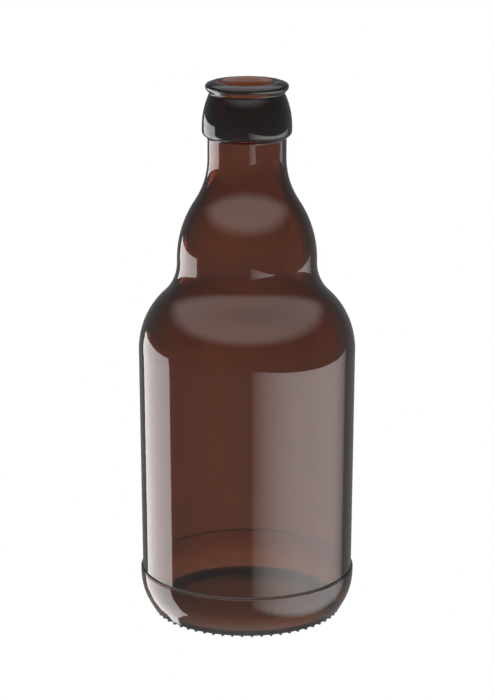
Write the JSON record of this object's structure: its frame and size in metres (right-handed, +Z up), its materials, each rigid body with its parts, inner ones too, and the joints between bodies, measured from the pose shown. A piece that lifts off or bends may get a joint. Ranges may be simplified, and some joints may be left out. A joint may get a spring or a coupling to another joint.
{
  "type": "steinie beer bottle",
  "caption": "Short, stout amber glass bottle with a bulb below its neck, a collared crown finish at the open mouth and a ring of small bars under the base.",
  "frame": {"origin": "centre of the base, on the surface that the bottle stands on", "axes": "+Z up the bottle's axis towards the mouth; the bottle is round, so X and Y point any way"},
  "size_m": [0.07, 0.07, 0.175],
  "materials": {
    "amber_glass": "clear brown container glass, smooth and glossy"
  },
  "bodies": {
    "root": {"bottle": "amber_glass"}
  },
  "joints": []
}
